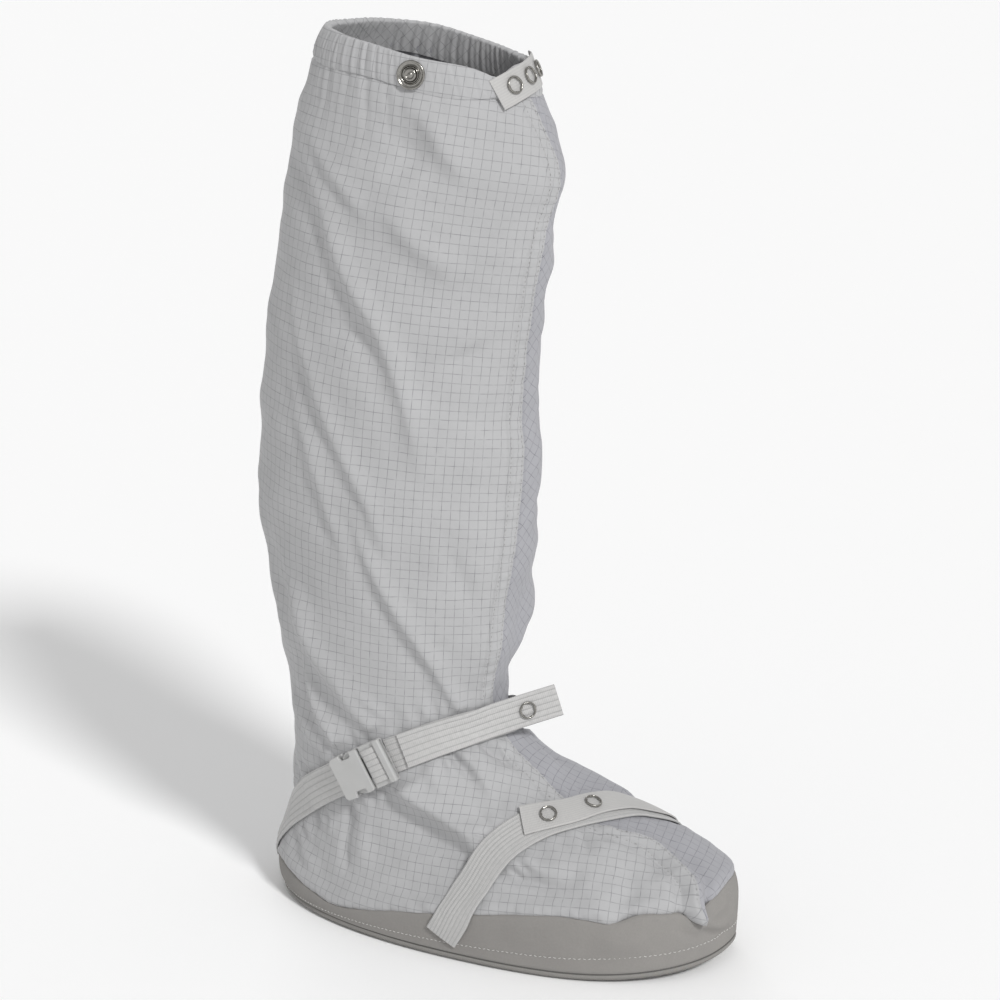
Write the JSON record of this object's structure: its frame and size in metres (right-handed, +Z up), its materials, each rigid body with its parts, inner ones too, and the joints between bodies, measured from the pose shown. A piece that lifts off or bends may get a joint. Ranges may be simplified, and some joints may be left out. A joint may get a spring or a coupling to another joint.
{
  "type": "cleanroom boot",
  "caption": "Knee-high cleanroom boot: slack grid-cloth sleeve with gathered collar, grey fabric foot band and flat sole, buckled ankle strap and snap instep tab",
  "frame": {"origin": "On the floor plane under the middle of the sole's length, on the boot's lengthwise centre plane", "axes": "+X to the toe, +Y to the inner (big toe) side, -Y to the outer side with the buckle, +Z up the shaft"},
  "size_m": [0.2846, 0.1298, 0.4953],
  "materials": {
    "cloth": "light grey-white polyester with a fine grid of dark thread",
    "foxing_twill": "mid grey twill",
    "sole_fabric": "mid grey dotted sole cloth, matte",
    "insole_felt": "plain light felt",
    "webbing": "ribbed white webbing",
    "plain_tape": "plain white woven tape",
    "buckle_plastic": "white moulded plastic, satin",
    "snap_metal": "bright plated press-stud metal"
  },
  "bodies": {
    "root": {"upper": "cloth", "foxing": "foxing_twill", "outsole": "sole_fabric", "insole": "insole_felt", "ankle_strap_rear": "webbing", "ankle_strap_front": "webbing", "ankle_strap_end": "webbing", "instep_webbing": "webbing", "instep_tab": "plain_tape", "collar_tab": "plain_tape", "buckle_socket": "buckle_plastic", "buckle_plug": "buckle_plastic", "collar_stud": "snap_metal", "snap_ankle": "snap_metal", "snap_instep_outer": "snap_metal", "snap_instep_middle": "snap_metal", "snap_collar_outer": "snap_metal", "snap_collar_middle": "snap_metal", "snap_collar_inner": "snap_metal"}
  },
  "joints": []
}
